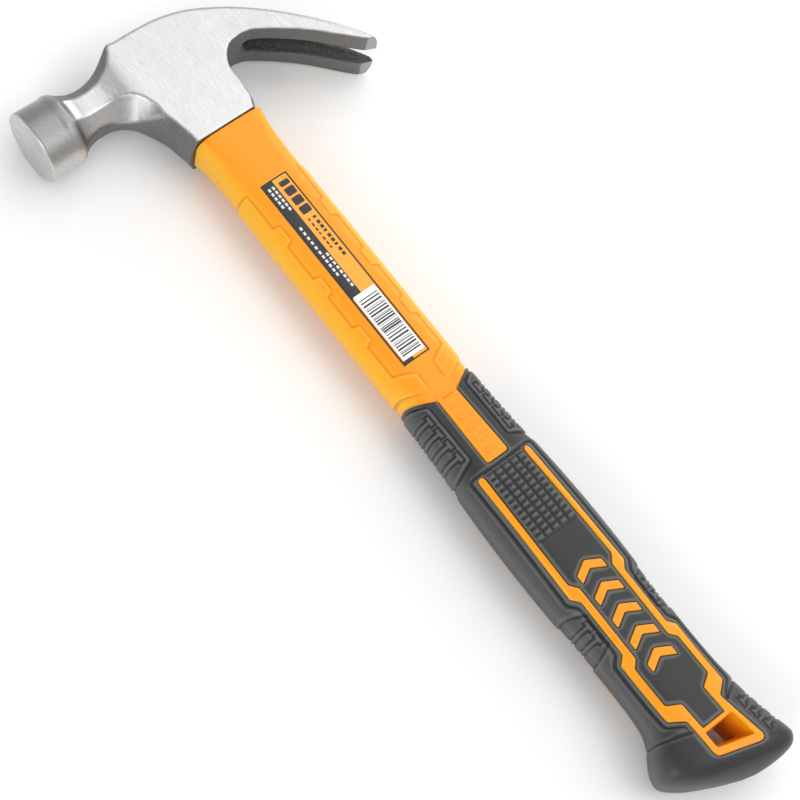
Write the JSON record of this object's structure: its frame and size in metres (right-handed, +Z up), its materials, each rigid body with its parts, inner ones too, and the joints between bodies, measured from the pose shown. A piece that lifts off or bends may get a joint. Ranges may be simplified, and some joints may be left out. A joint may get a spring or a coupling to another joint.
{
  "type": "claw hammer",
  "caption": "Claw hammer: forged steel head with a round poll and a curved split claw, on a fibreglass core in a moulded jacket with a rubber grip and a hanging slot.",
  "frame": {"origin": "middle of the bottom of the whole hammer's box, as it lies on its side", "axes": "+Y from the butt of the grip to the head, +X from the striking face to the claw, +Z up, out of the labelled side"},
  "size_m": [0.1262, 0.3418, 0.028],
  "materials": {
    "forged_steel": "ground and brushed, satin, with darker forged flanks",
    "fibreglass": "pultruded rod, lengthwise fibres, satin",
    "epoxy": "cast resin, semi-gloss",
    "jacket_plastic": "moulded, satin",
    "grip_rubber": "fine moulded texture, satin",
    "label_print": "printed film, satin",
    "sticker_paper": "coated paper, matt"
  },
  "bodies": {
    "root": {"hammer_head": "forged_steel", "fibreglass_core": "fibreglass", "eye_epoxy": "epoxy", "handle_jacket": "jacket_plastic", "rubber_grip": "grip_rubber", "label_film": "label_print", "barcode_sticker": "sticker_paper"}
  },
  "joints": []
}
